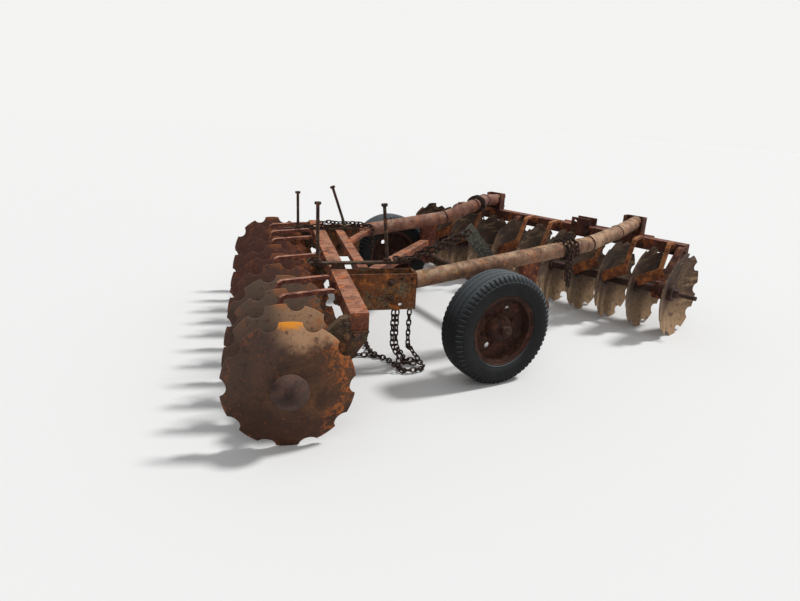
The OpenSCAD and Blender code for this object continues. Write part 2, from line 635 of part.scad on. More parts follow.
// Its tail: place along the pipe and length
right_tail = [2085, 240];
module right_pipe_chain() color(dark_rust) machine() {
    tail_top = [right_tail[0], right_y - wrap_r - 1, pipe_h(right_tail[0]) + 4];
    wrap(right_path[0], right_path[1], right_wrap_x - right_path[0][0], 3);
    chain([tail_top, tail_top + [4, -6, -right_tail[1] / 2], tail_top + [2, -5, -right_tail[1]]]);
}
left_wrap_from = 50;
left_wrap_turns = 3;
// Its tail: distance along the pipe's leg and length
left_tail = [86, 330];
module left_pipe_chain() color(dark_rust) machine() {
    leg = left_path[3] - left_path[2];
    out = unit([leg[1], -leg[0], 0]);
    top = left_path[2] + unit(leg) * left_tail[0] + out * (wrap_r + 1);
    wrap(left_path[2], left_path[3], left_wrap_from, left_wrap_turns);
    chain([top, top + out * 6 - [0, 0, left_tail[1] / 2], top + out * 4 - [0, 0, left_tail[1]]]);
}
// Chains that hang from the right box's edge: rows of points as f, s and height, the first leg straight down
hang_h = plate_bottom - (link_len - link_pitch) / 2 - 0.4;
hang_drop = hang_h - 3 * link_pitch + 0.1;
hang_s = right_plate_s[0] - plate_t / 2;
hanging_rows = [
    [[640, hang_s, hang_h], [640, hang_s, hang_drop], [668, 732, 120], [692, 712, 30]],
    [[662, hang_s, hang_h], [662, hang_s, hang_drop], [694, 760, 120], [744, 828, 34]],
    [[735, hang_s, hang_h], [735, hang_s, hang_drop], [770, 800, 120], [826, 800, 40]]];
// The heap under them and the chain along the ground: f, s and how high it is raised
ground_rows = [[[690, 706, 4], [766, 690, 12], [842, 738, 4], [826, 806, 15]],
    [[708, 700, 5], [617, 933, 2], [437, 985, 4]], [[598, 930, 8], [561, 1063, 2], [569, 1293, 3]]];
module hanging_chains() color(dark_rust) at_rear() {
    for (row = hanging_rows) chain(row);
    for (row = ground_rows) chain([for (q = row) [q[0], q[1], lying_h + q[2]]]);
}
// Chain left on the left clamp bar: lying along it, then over the next one and down
// Ends of its two strands on the bar, then the second one's fall: f, sideways and height
bar_chain_f = [214, 484, 572, 639];
bar_chain_drop = [[727, 2, 634], [738, 2, 560], [734, 0, 420]];
module bar_chain() color(dark_rust) at_rear() {
    chain([[bar_chain_f[0], left_clamp[0], clamp_lying_h], [bar_chain_f[1], left_clamp[0], clamp_lying_h]]);
    chain([[bar_chain_f[2], left_clamp[0], clamp_lying_h],
        [bar_chain_f[3], left_clamp[0] - 2, clamp_lying_h],
        for (q = bar_chain_drop) [q[0], left_clamp[0] + q[1], q[2]]]);
}
module right_tyre() tyre(-1);
module left_tyre() tyre(1);
module right_rim() rim(-1);
module left_rim() rim(1);
module right_hub() hub(-1);
module left_hub() hub(1);

rear_gang_beam();
front_gang_beam();
right_main_pipe();
left_main_pipe();
right_clamp_bar();
left_clamp_bar();
right_side_plates();
left_side_plates();
rear_cross_bar();
rear_tie_bar();
long_bolts();
diagonal_brace();
front_pipe_mounts();
hitch_bracket();
hitch_cross_bar();
rockshaft_hangers();
rear_hangers();
front_hangers();
rear_scrapers();
front_scrapers();
lift_chain();
right_pipe_chain();
left_pipe_chain();
hanging_chains();
bar_chain();
rear_discs();
rear_spools();
rear_gang_bolt();
front_discs();
front_spools();
front_gang_bolt();
rockshaft_tube();
lift_lever();
wheel_arms();
wheel_spindles();
right_tyre();
right_rim();
right_hub();
left_tyre();
left_rim();
left_hub();
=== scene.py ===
"""Offset disc harrow: finishes, chain links, tyre treads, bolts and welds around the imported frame."""
import math
import random

import bpy
from mathutils import Matrix, Vector


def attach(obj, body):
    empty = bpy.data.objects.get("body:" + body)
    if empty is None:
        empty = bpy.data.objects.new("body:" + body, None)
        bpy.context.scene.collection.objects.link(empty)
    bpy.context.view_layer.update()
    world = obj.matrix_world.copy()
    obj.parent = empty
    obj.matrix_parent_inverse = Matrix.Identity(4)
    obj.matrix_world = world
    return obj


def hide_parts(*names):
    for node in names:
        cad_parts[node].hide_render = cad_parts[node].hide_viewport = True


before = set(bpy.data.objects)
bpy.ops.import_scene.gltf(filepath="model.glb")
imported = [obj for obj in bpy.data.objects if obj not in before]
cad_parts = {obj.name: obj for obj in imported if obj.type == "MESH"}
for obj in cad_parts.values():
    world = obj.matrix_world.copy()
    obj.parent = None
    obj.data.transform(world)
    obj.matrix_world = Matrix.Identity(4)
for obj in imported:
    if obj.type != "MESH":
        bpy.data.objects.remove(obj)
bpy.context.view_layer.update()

UP = Vector((0, 0, 1))

# The machine's own layout, in metres, as the part has it
GANG_ANGLE = math.radians(15.4)
SIN, COS = math.sin(GANG_ANGLE), math.cos(GANG_ANGLE)
PITCH = 0.250
DISC_COUNT = 11
GANG_LEN = PITCH * (DISC_COUNT - 1)
HUB_H = 0.305
FRONT_AHEAD, FRONT_LEFT = 3.045, 0.327
BOX_LEAD = 0.0169
MID = Vector((FRONT_AHEAD / 2 + BOX_LEAD, (FRONT_LEFT + COS * GANG_LEN) / 2, 0))
REAR_AHEAD, REAR_LEFT = Vector((COS, -SIN, 0)), Vector((SIN, COS, 0))
FRONT_AHEAD_WAY, FRONT_LEFT_WAY = Vector((COS, SIN, 0)), Vector((-SIN, COS, 0))

# The gang beams: how far ahead of the gang's bolt their middle is, their size and how high their top is
BEAM_AHEAD, BEAM_SIZE, BEAM_TOP = 0.330, 0.089, 0.609
BEAM_REAR, BEAM_FRONT = BEAM_AHEAD - BEAM_SIZE / 2, BEAM_AHEAD + BEAM_SIZE / 2
BEAM_BOTTOM = BEAM_TOP - BEAM_SIZE

# The main pipes: radius, places across, and the heights and places ahead of both ends of their long slope
PIPE_R = 0.051
RIGHT_Y, LEFT_Y = 0.550, 1.830
PIPE_REAR_H, PIPE_FRONT_H = 0.560, 0.683
SLOPE_X, FIRST_BEND_X, LEFT_BEND_X = 0.960, 2.300, 1.950

# The pipes' mounts on the front beam: places along it, half width, depth, plate and how far ahead it is
RIGHT_MOUNT_S, LEFT_MOUNT_S = 0.572, 1.971
MOUNT_HALF, MOUNT_DEEP, MOUNT_T, MOUNT_F = 0.082, 0.056, 0.012, 0.340

# The side plates of both boxes: places of their outer faces along the rear gang, front ends and lower edge
RIGHT_BOX, LEFT_BOX = (0.733, 0.864), (2.008, 2.182)
RIGHT_BOX_FRONT, LEFT_BOX_FRONT = 0.768, 0.640
PLATE_BOTTOM = 0.395

# The rear cross bar between the boxes: its rear and front faces and its height
CROSS_BAR_REAR, CROSS_BAR_FRONT, CROSS_BAR_H = 0.450, 0.510, 0.040

# The clamp bars over the rear beam: places along it, half width, thickness and the right one's packing
RIGHT_CLAMP_S, LEFT_CLAMP_S = 0.878, 1.994
CLAMP_HALF, CLAMP_H, PACKING_H = 0.0205, 0.012, 0.026
LEFT_CLAMP_TOP = BEAM_TOP + CLAMP_H
RIGHT_CLAMP_TOP = LEFT_CLAMP_TOP + PACKING_H

# The lift lever: place across, thickness, and the place of its chain's pin, ahead and up
LEVER_Y, LEVER_T = 0.640, 0.020
LEVER_PIN = (1.352, 0.824)
BY_LEVER = LEVER_Y - LEVER_T / 2 - 0.022

# Chain: the length, width and wire of a link, the distance from one to the next and how far each may lean
LINK_LEN, LINK_WIDTH, LINK_WIRE, LINK_PITCH, LINK_LEAN = 0.050, 0.034, 0.0098, 0.0320, 0.16
# How high the middle of a lying chain is, with its links half over
LYING = 0.0138
# A wrapped chain: the distance between turns, their number, points in a turn, and how far from the pipe's
# middle its tail hangs
WRAP_PITCH, WRAP_TURNS, WRAP_POINTS, TAIL_R = 0.040, 3, 14, 0.0683
# Where the chains around the pipes start and hang down: places ahead, and along the left pipe's leg
RIGHT_WRAP_X, RIGHT_TAIL_X = 2.050, 2.085
LEFT_WRAP_ON, LEFT_TAIL_ON = 0.050, 0.086
# The chains that hang in the right box: place along the gang, top, and height where they leave the straight
HANG_S, HANG_TOP = 0.739, PLATE_BOTTOM - 0.0064
HANG_LOW = HANG_TOP - 0.2099

# Wheels: height of the axle, and each wheel's middle and its outer side
WHEEL_H = 0.331
WHEELS = {"right": ((1.320, 0.224, WHEEL_H), -1), "left": ((1.538, 2.008, WHEEL_H), 1)}
# Tyre outline from bead to tread: radius, distance out from the middle, and how a tread slot moves the point
TYRE_HALF = [(0.193, 0.060, 0, 0), (0.198, 0.070, 0, 0), (0.206, 0.0795, 0, 0), (0.2140, 0.0860, 0, 0),
             (0.2152, 0.0885, 0, 0), (0.2185, 0.0890, 0, 0), (0.2200, 0.0882, 0, 0), (0.236, 0.0945, 0, 0),
             (0.256, 0.0990, 0, 0), (0.276, 0.1000, 0, 0), (0.2905, 0.0985, 0, 0), (0.2915, 0.0965, 0, 0),
             (0.2935, 0.0962, 0.0005, 0.0005), (0.3040, 0.0935, 0.002, 0.0060),
             (0.3150, 0.0878, 0.003, 0.0060), (0.3235, 0.0790, 0.004, 0.0040),
             (0.3262, 0.0720, 0.003, 0.0010), (0.3268, 0.0700, 0, 0)]
# Grooves around the tread: place across, half width and depth
GROOVES = [(0.042, 0.0022, 0.0055), (0.0, 0.0018, 0.0030), (-0.042, 0.0022, 0.0055)]
GROOVE_EDGE, GROOVE_FLOOR = 2.2, 0.8
CROWN_R, CROWN_DROP, CROWN_HALF = 0.3308, 0.0040, 0.07
TREAD_TURNS, TREAD_STEPS, SLOT_STEPS = 64, 8, (2, 3, 4)
ZIGZAG, WEAR = 0.0032, 0.0006
# Rims: radius, distance out and wire of the rolled flange, then the boss over the hub and its cap, as pairs
# of radius and height
FLANGE_R, FLANGE_OUT, FLANGE_WIRE = 0.2065, 0.0790, 0.0052
BOSS = [(0.084, 0.004), (0.082, 0.024), (0.077, 0.044), (0.068, 0.058), (0.056, 0.067), (0.040, 0.072),
        (0.033, 0.073)]
HUB_CAP = [(0.033, 0.088), (0.0345, 0.091), (0.0345, 0.101), (0.031, 0.107), (0.022, 0.111), (0.010, 0.1125)]
# Wheel bolts: number, radius of their circle, turn of the first, distance out and size
WHEEL_BOLTS, WHEEL_BOLT_R, WHEEL_BOLT_TURN, WHEEL_BOLT_OUT, WHEEL_BOLT = 6, 0.103, 0.3, 0.0075, 0.014

# Sizes of bolt, as the radius across a nut's corners
BOLT, BIG_BOLT = 0.018, 0.020
# Scrapers: the gaps between discs that have one, the place of its bolt in the gap and up, and its foot
REAR_SCRAPERS, REAR_SCRAPER_S = [1, 2, 4, 6, 7, 8], 0.160
FRONT_SCRAPERS, FRONT_SCRAPER_S = [1, 2, 4, 5, 7, 8, 9], 0.030
SCRAPER_BOLT_H, SCRAPER_T = BEAM_BOTTOM + 0.038, 0.012
# Hangers: the gaps that have one, its place in the gap, half its width, and its bolts' places ahead and up
REAR_HANGERS, FRONT_HANGERS = [0, 5, 9], [0, 3, 9]
HANGER_S, HANGER_HALF = 0.100, 0.025
HANGER_BOLTS = [(BEAM_REAR - 0.018, 0.560), (BEAM_REAR - 0.018, 0.500), (BEAM_REAR + 0.030, 0.500)]
HANGER_WELD_TOP = BEAM_TOP - 0.012
# Long bolts: place along the rear gang, place ahead, top of the clamp bar and lean in degrees
LONG_BOLTS = [(RIGHT_CLAMP_S, 0.212, RIGHT_CLAMP_TOP, 0), (RIGHT_CLAMP_S, 0.620, RIGHT_CLAMP_TOP, -5),
              (LEFT_CLAMP_S, 0.175, LEFT_CLAMP_TOP, 0), (LEFT_CLAMP_S, 0.528, LEFT_CLAMP_TOP, -18.5)]
LONG_WASHER = [(0.029, 0.0), (0.029, 0.0045), (0.021, 0.0045)]
LONG_NUT = [(0.0218, 0.0045), (0.0232, 0.0065), (0.0232, 0.0175), (0.0205, 0.0205)]
THREAD_FROM, THREAD_PITCH, THREAD_TURNS = 0.024, 0.004, 11
THREAD_ROOT, THREAD_CREST = 0.0098, 0.0112
# The hitch bracket on the front beam: its place along it, its bolts to each side and up, and its plate
HITCH_S, HITCH_BOLT_SIDE, HITCH_T = 1.020, 0.060, 0.014
HITCH_BOLT_HEIGHTS = (BEAM_TOP + 0.012, BEAM_TOP - 0.045)
# Bolts of the pipes' mounts, to each side and up, and of the side plates, back from their front ends and up
MOUNT_BOLT_SIDE, MOUNT_BOLT_HEIGHTS = 0.058, (0.640, 0.728)
BOX_BOLT_BACK, BOX_BOLT_HEIGHTS = 0.150, (0.560, 0.470)
# Weld beads: radius along plates, round a pipe's mitres, at the boxes and at the mounts, and a bead's step
BEAD, MITRE_BEAD, BOX_BEAD, MOUNT_BEAD, BEAD_STEP = 0.0042, 0.0056, 0.0052, 0.0050, 0.0045
# How far a mitre's bead stands out from the pipe, and the points of a bead around a pipe
MITRE_RISE, RING_POINTS = 0.0008, 80

# The camera: its place from the rear gang's first disc, where it looks, and its lens
CAMERA_AT = Vector((-0.797, -2.431, 1.5435))
CAMERA_HEADING = math.radians(29.02)
CAMERA_PITCH = math.radians(17.91)
CAMERA_ROLL = math.radians(-2.74)
CAMERA_FOCAL_PX = 614.0
PHOTO_WIDTH = 800
SENSOR = 36.0

# How much light all surfaces throw back: dull, as old rust does
SPECULAR = 0.25

# Floor, backdrop and lights
FLOOR_SIZE = 60.0
FLOOR_SHADE, FLOOR_ROUGH = 0.76, 0.9
BACKDROP_SHADE = 0.90
WARM = 0.985
WORLD_COLOUR, WORLD_STRENGTH = (0.97, 0.98, 1.0, 1), 0.42
KEY_FROM, KEY_STRENGTH, KEY_SOFTNESS = Vector((0.62, -0.10, 0.78)), 2.7, math.radians(9)
FILL_FROM, FILL_STRENGTH, FILL_SOFTNESS = Vector((-0.5, -0.9, 0.7)), 0.45, math.radians(60)


def machine(x, y, h):
    """A point of the machine: ahead of, left of and above the rear gang's first disc."""
    return Vector((x, y, h)) - MID


def rear(s, f, h):
    """A point s along the rear gang, f ahead of its bolt and h above the ground."""
    return machine(SIN * s + COS * f, COS * s - SIN * f, h)


def front(s, f, h):
    """A point s along the front gang, f ahead of its bolt and h above the ground."""
    return machine(FRONT_AHEAD - SIN * s + COS * f, FRONT_LEFT + COS * s + SIN * f, h)


def make_camera():
    heading = Vector((math.sin(CAMERA_HEADING), math.cos(CAMERA_HEADING), 0))
    level = Vector((heading.y, -heading.x, 0))
    look = heading * math.cos(CAMERA_PITCH) + Vector((0, 0, -math.sin(CAMERA_PITCH)))
    down = -heading * math.sin(CAMERA_PITCH) + Vector((0, 0, -math.cos(CAMERA_PITCH)))
    right = level * math.cos(CAMERA_ROLL) + down * math.sin(CAMERA_ROLL)
    up = level * math.sin(CAMERA_ROLL) - down * math.cos(CAMERA_ROLL)
    data = bpy.data.cameras.new("camera")
    data.sensor_width = SENSOR
    data.lens = CAMERA_FOCAL_PX * SENSOR / PHOTO_WIDTH
    camera = bpy.data.objects.new("camera", data)
    turn = Matrix((right, up, -look)).transposed()
    camera.matrix_world = Matrix.Translation(CAMERA_AT - MID) @ turn.to_4x4()
    bpy.context.scene.collection.objects.link(camera)
    bpy.context.scene.camera = camera


def along(path, joined=False):
    """Each point of a path, with a turn whose Z looks along it, carried on without a twist."""
    path = [Vector(point) for point in path]
    last = len(path) - 1
    side = None
    placed = []
    for i, spot in enumerate(path):
        ahead = path[(i + 1) % len(path)] if joined or i < last else spot
        behind = path[i - 1] if joined or i > 0 else spot
        look = (ahead - behind).normalized()
        side = look.orthogonal() if side is None else side
        side = (side - look * side.dot(look)).normalized()
        placed.append((spot, Matrix((side, look.cross(side), look)).transposed()))
    return placed


def circle(radius, sides, turn=0.0):
    steps = [turn + 2 * math.pi * k / sides for k in range(sides)]
    return [(radius * math.cos(a), radius * math.sin(a)) for a in steps]


def facing_along(spot, look):
    """The place at spot whose Z looks along a direction."""
    return Matrix.Translation(spot) @ Vector(look).to_track_quat("Z", "Y").to_matrix().to_4x4()


class Shape:
    """The points and faces of one piece."""

    def __init__(self):
        self.points = []
        self.faces = []

    def rows(self, rows, at=Matrix(), joined=False):
        """A skin over rows of points that each close on themselves, capped unless the rows are joined."""
        start, wide = len(self.points), len(rows[0])
        self.points += [at @ Vector(point) for row in rows for point in row]
        for i in range(len(rows) if joined else len(rows) - 1):
            here, there = start + i * wide, start + (i + 1) % len(rows) * wide
            for j in range(wide):
                k = (j + 1) % wide
                self.faces.append((here + j, here + k, there + k, there + j))
        if not joined:
            self.faces.append(tuple(range(start + wide - 1, start - 1, -1)))
            self.faces.append(tuple(range(start + (len(rows) - 1) * wide, start + len(rows) * wide)))

    def stack(self, at, levels, sides, turn=0.0):
        """Round or many-sided levels above one another: pairs of radius and height."""
        rows = [[(x, y, height) for x, y in circle(radius, sides, turn)] for radius, height in levels]
        self.rows(rows, at)

    def tube(self, path, radius, sides=8, joined=False):
        """A round bar along a path: radius is a function of the point's number."""
        rows = []
        for i, (spot, turn) in enumerate(along(path, joined)):
            rows.append([spot + turn @ Vector((x, y, 0)) for x, y in circle(radius(i), sides)])
        self.rows(rows, joined=joined)

    def piece(self, name, look, body, replaced=(), crease=35):
        mesh = bpy.data.meshes.new(name)
        mesh.from_pydata(self.points, [], self.faces)
        mesh.shade_smooth()
        mesh.set_sharp_from_angle(angle=math.radians(crease))
        mesh.materials.append(looks[look])
        made = bpy.data.objects.new(name, mesh)
        bpy.context.scene.collection.objects.link(made)
        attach(made, body)
        if replaced:
            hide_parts(*replaced)


def smooth_path(points, spacing):
    """Points a set distance apart along a soft curve through the given ones."""
    points = [Vector(point) for point in points]
    ends = [2 * points[0] - points[1]] + points + [2 * points[-1] - points[-2]]
    fine = []
    for i in range(1, len(ends) - 2):
        a, b, c, d = ends[i - 1:i + 3]
        for k in range(20):
            t = k / 20
            fine.append(0.5 * (2 * b + (c - a) * t + (2 * a - 5 * b + 4 * c - d) * t * t
                               + (3 * b - a - 3 * c + d) * t ** 3))
    fine.append(points[-1])
    whole = sum((q - p).length for p, q in zip(fine, fine[1:]))
    count = max(2, round(whole / spacing))
    gone, wanted, placed = 0.0, 0, []
    for p, q in zip(fine, fine[1:]):
        step = (q - p).length
        while wanted <= count and wanted * whole / count <= gone + step + 1e-9:
            placed.append(p.lerp(q, (wanted * whole / count - gone) / step if step else 0))
            wanted += 1
        gone += step
    return placed


def link_path():
    """The middle line of one link's wire, in its own X-Z plane."""
    bend = (LINK_WIDTH - LINK_WIRE) / 2
    straight = LINK_LEN / 2 - LINK_WIRE / 2 - bend
    turns = [math.pi * k / 6 for k in range(7)]
    top = [(bend * math.cos(a), 0, straight + bend * math.sin(a)) for a in turns]
    return top + [(-x, 0, -z) for x, y, z in top]


def add_chain(shape, points, rolls):
    """Links through one another along a path, each turned a quarter from the last."""
    path = smooth_path(points, LINK_PITCH)
    middles = [(p + q) / 2 for p, q in zip(path, path[1:])]
    for i, (p, q) in enumerate(zip(path, path[1:])):
        look = (q - p).normalized()
        level = look.cross(UP)
        level = level.normalized() if level.length > 0.3 else look.orthogonal().normalized()
        turn = Matrix((level, look.cross(level), look)).transposed().to_4x4()
        roll = math.pi / 4 + math.pi / 2 * (i % 2) + rolls.uniform(-LINK_LEAN, LINK_LEAN)
        at = Matrix.Translation(middles[i]) @ turn @ Matrix.Rotation(roll, 4, "Z")
        shape.tube([at @ Vector(p) for p in link_path()], lambda i: LINK_WIRE / 2, 6, joined=True)


def linear(r, g, b):
    """A colour given as it is seen, 0 to 255, in the light that the shaders count in."""
    def one(c):
        c = c / 255
        return c / 12.92 if c <= 0.04045 else ((c + 0.055) / 1.055) ** 2.4
    return (one(r), one(g), one(b), 1.0)


class Look:
    """A material and short calls that add nodes to it."""

    def __init__(self, name):
        self.material = bpy.data.materials.new(name)
        self.material.use_nodes = True
        self.tree = self.material.node_tree
        self.tree.nodes.clear()
        self.out = self.tree.nodes.new("ShaderNodeOutputMaterial")
        self.shader = self.tree.nodes.new("ShaderNodeBsdfPrincipled")
        self.tree.links.new(self.shader.outputs[0], self.out.inputs["Surface"])

    def join(self, socket, value):
        if isinstance(value, bpy.types.NodeSocket):
            self.tree.links.new(value, socket)
        else:
            socket.default_value = value

    def place(self, size=(1, 1, 1), at=(0, 0, 0)):
        """The point on the object, stretched and moved."""
        where = self.tree.nodes.new("ShaderNodeTexCoord")
        mapping = self.tree.nodes.new("ShaderNodeMapping")
        self.tree.links.new(where.outputs["Object"], mapping.inputs["Vector"])
        mapping.inputs["Scale"].default_value = size
        mapping.inputs["Location"].default_value = at
        return mapping.outputs[0]

    def noise(self, place, scale, detail=4.0, rough=0.55, distort=0.0):
        node = self.tree.nodes.new("ShaderNodeTexNoise")
        self.join(node.inputs["Vector"], place)
        node.inputs["Scale"].default_value = scale
        node.inputs["Detail"].default_value = detail
        node.inputs["Roughness"].default_value = rough
        node.inputs["Distortion"].default_value = distort
        return node.outputs["Fac"]

    def cells(self, place, scale):
        node = self.tree.nodes.new("ShaderNodeTexVoronoi")
        self.join(node.inputs["Vector"], place)
        node.inputs["Scale"].default_value = scale
        return node.outputs["Distance"]

    def ramp(self, value, stops):
        node = self.tree.nodes.new("ShaderNodeValToRGB")
        self.join(node.inputs["Fac"], value)
        points = node.color_ramp.elements
        while len(points) < len(stops):
            points.new(0.5)
        for point, (place, colour) in zip(points, stops):
            point.position = place
            point.color = colour if len(colour) == 4 else (*colour, 1)
        return node.outputs["Color"]

    def step(self, value, low, high):
        """0 below low, 1 above high, and smooth between."""
        node = self.tree.nodes.new("ShaderNodeMapRange")
        node.interpolation_type = "SMOOTHSTEP"
        self.join(node.inputs["Value"], value)
        node.inputs["From Min"].default_value = low
        node.inputs["From Max"].default_value = high
        return node.outputs["Result"]

    def math(self, operation, a, b=0.5):
        node = self.tree.nodes.new("ShaderNodeMath")
        node.operation = operation
        self.join(node.inputs[0], a)
        self.join(node.inputs[1], b)
        return node.outputs[0]

    def mix(self, amount, a, b):
        node = self.tree.nodes.new("ShaderNodeMix")
        node.data_type = "RGBA"
        self.join(node.inputs["Factor"], amount)
        self.join(node.inputs[6], a)
        self.join(node.inputs[7], b)
        return node.outputs[2]

    def all_of(self, *masks):
        """Where every mask is 1."""
        both = masks[0]
        for mask in masks[1:]:
            both = self.math("MULTIPLY", both, mask)
        return both

    def paint(self, base, colour, amount, *masks):
        """The base with a colour laid over it where every mask is 1, by an amount from 0 to 1."""
        return self.mix(self.math("MULTIPLY", self.all_of(*masks), amount), base, linear(*colour))

    def facing(self, axis="Z"):
        """How far the surface faces along one axis of the row frame, -1 to 1."""
        node = self.tree.nodes.new("ShaderNodeNewGeometry")
        split = self.tree.nodes.new("ShaderNodeSeparateXYZ")
        self.tree.links.new(node.outputs["Normal"], split.inputs[0])
        return split.outputs[axis]

    def height(self, value, distance, strength=1.0):
        node = self.tree.nodes.new("ShaderNodeBump")
        node.inputs["Strength"].default_value = strength
        node.inputs["Distance"].default_value = distance
        self.join(node.inputs["Height"], value)
        self.tree.links.new(node.outputs[0], self.shader.inputs["Normal"])

    def finish(self, colour, rough):
        self.join(self.shader.inputs["Base Color"], colour)
        self.join(self.shader.inputs["Roughness"], rough)
        self.shader.inputs["Specular IOR Level"].default_value = SPECULAR
        return self.material


def grey(*stops):
    """Ramp stops of plain values, such as for roughness."""
    return [(place, (value, value, value)) for place, value in stops]


def rust(name, dark, mid, bright, fleck, patch, top, top_colour, lichen, seed, mottle=1.0,
         lichen_colour=(112, 112, 88)):
    """Weathered steel: broad patches, blotches of fresh rust, streaks down it, pits, and a pale top that is
    partly dust and partly a painted highlight where the sun falls on faces that look up.
    """
    look = Look(name)
    place = look.place(at=(seed, seed * 0.7, seed * 0.3))
    broad = look.noise(place, patch, 6.0, 0.62, 0.6)
    base = look.ramp(broad, [(0.30, linear(*dark)), (0.50, linear(*mid)), (0.70, linear(*bright))])
    # Pale top: partly dust, partly a painted highlight of sunlit tops, laid on the faces that look up
    up = look.step(look.facing("Z"), 0.25, 0.95)
    dust_and_sunlit_top = look.all_of(up, look.step(look.noise(place, 13.0, 7.0, 0.7), 0.36, 0.60))
    base = look.paint(base, top_colour, top, dust_and_sunlit_top)
    blotch = look.noise(look.place(at=(seed + 7, seed, 2)), patch * 3.5, 8.0, 0.72, 0.4)
    base = look.paint(base, fleck, 0.7 * mottle, look.step(blotch, 0.53, 0.61))
    streak = look.noise(look.place(size=(9, 9, 1.2), at=(seed, 0, 0)), 2.6, 5.0, 0.6)
    base = look.paint(base, dark, 0.6 * mottle, look.step(streak, 0.50, 0.70))
    fine = look.noise(place, 46.0, 8.0, 0.72)
    base = look.paint(base, fleck, 0.8, look.step(fine, 0.56, 0.70))
    base = look.paint(base, dark, 0.75, look.step(look.noise(place, 28.0, 8.0, 0.7), 0.53, 0.64))
    base = look.paint(base, dark, 1.0, look.step(look.noise(place, 120.0, 4.0, 0.6), 0.60, 0.75))
    if lichen > 0:
        patches = look.noise(look.place(at=(seed + 3, 1, 2)), 7.0, 8.0, 0.72)
        spots = look.step(look.noise(place, 65.0, 6.0, 0.7), 0.42, 0.62)
        base = look.paint(base, lichen_colour, 1.0, look.step(patches, 0.60 - 0.22 * lichen, 0.72), spots)
    pits = look.math("ADD", look.math("MULTIPLY", fine, 0.6), look.cells(place, 160.0))
    look.height(pits, 0.0014, 0.8)
    return look.finish(base, look.ramp(fine, grey((0.3, 0.74), (0.8, 0.95))))


def gang_place(look, at_front):
    """Distances from a gang's bolt: across it and up, and the radius, of a point on the gang."""
    angle = -GANG_ANGLE if at_front else GANG_ANGLE
    start = front(0, 0, HUB_H) if at_front else rear(0, 0, HUB_H)
    where = look.tree.nodes.new("ShaderNodeTexCoord")
    moved = look.tree.nodes.new("ShaderNodeVectorMath")
    moved.operation = "SUBTRACT"
    look.tree.links.new(where.outputs["Object"], moved.inputs[0])
    moved.inputs[1].default_value = start
    turned = look.tree.nodes.new("ShaderNodeVectorRotate")
    turned.rotation_type = "Z_AXIS"
    look.tree.links.new(moved.outputs[0], turned.inputs["Vector"])
    turned.inputs["Angle"].default_value = angle
    split = look.tree.nodes.new("ShaderNodeSeparateXYZ")
    look.tree.links.new(turned.outputs[0], split.inputs[0])
    square = look.math("ADD", look.math("MULTIPLY", split.outputs["X"], split.outputs["X"]),
                       look.math("MULTIPLY", split.outputs["Z"], split.outputs["Z"]))
    return split.outputs, look.math("SQRT", square)


def finish_disc(look, base, radius, fine):
    """Rings rubbed about the bolt, pits and a dull gloss."""
    rings = look.math("SINE", look.math("MULTIPLY", radius, 900.0))
    look.height(look.math("ADD", look.math("MULTIPLY", rings, 0.08), fine), 0.0012, 0.6)
    return look.finish(base, look.ramp(fine, grey((0.3, 0.62), (0.75, 0.88))))


def rear_disc_steel():
    """Rear discs: dark brown, purplish at the upper left, with a painted highlight of pale tan at the top,
    mottled orange ahead.

    They are darker and redder low down, the near ones behind the first are greyer and the far ones maroon,
    and a tooth at the top of each is orange.
    """
    look = Look("rear_disc_steel")
    place = look.place(at=(1, 1, 0))
    axes, radius = gang_place(look, False)
    across, back, up = axes["X"], axes["Y"], axes["Z"]
    broad = look.noise(place, 5.0, 7.0, 0.66, 0.8)
    fine = look.noise(place, 62.0, 8.0, 0.72)
    grain = look.noise(place, 17.0, 8.0, 0.72, 0.5)
    dents = look.noise(place, 34.0, 8.0, 0.7)
    ragged = look.math("MULTIPLY", broad, 0.22)
    ragged_up, ragged_across = look.math("ADD", up, ragged), look.math("ADD", across, ragged)
    base = look.ramp(broad, [(0.32, linear(44, 29, 20)), (0.50, linear(72, 47, 31)),
                             (0.66, linear(98, 64, 41))])
    upper_left = look.math("ADD", look.math("SUBTRACT", up, across), ragged)
    base = look.paint(base, (74, 56, 50), 0.6, look.step(upper_left, 0.16, 0.42))
    base = look.paint(base, (108, 90, 76), 0.6, look.step(back, 0.08, 0.20), look.step(back, 1.05, 0.80),
                      look.step(up, 0.06, 0.22))
    base = look.paint(base, (82, 42, 34), 0.6, look.step(back, 0.80, 1.10))
    base = look.paint(base, (54, 29, 17), 0.8, look.step(ragged_up, 0.10, -0.14))
    # Painted highlight: pale tan where the sun falls on the top right of the near discs
    base = look.paint(base, (172, 134, 102), 0.8, look.step(ragged_up, 0.27, 0.36),
                      look.step(across, -0.10, 0.04), look.step(back, 0.50, 0.20))
    base = look.paint(base, (168, 92, 38), 1.0, look.step(ragged_across, 0.16, 0.34),
                      look.step(radius, 0.14, 0.27), look.step(grain, 0.46, 0.58),
                      look.step(fine, 0.36, 0.60))
    base = look.paint(base, (150, 84, 44), 0.5, look.step(radius, 0.24, 0.32), look.step(grain, 0.52, 0.62))
    base = look.paint(base, (136, 78, 44), 0.7, look.step(fine, 0.56, 0.68))
    base = look.paint(base, (40, 28, 26), 0.7, look.step(dents, 0.54, 0.66))
    top_edge = look.math("ADD", up, look.math("MULTIPLY", grain, 0.07))
    off_middle = look.math("ABSOLUTE", look.math("SUBTRACT", across, 0.02))
    tooth = look.all_of(look.step(top_edge, 0.305, 0.335), look.step(off_middle, 0.085, 0.055))
    fading = look.ramp(back, grey((0.0, 0.95), (0.30, 0.5), (0.75, 0.25)))
    orange = look.mix(look.step(back, 0.16, 0.08), linear(176, 104, 48), linear(222, 140, 36))
    base = look.mix(look.math("MULTIPLY", tooth, fading), base, orange)
    return finish_disc(look, base, radius, fine)


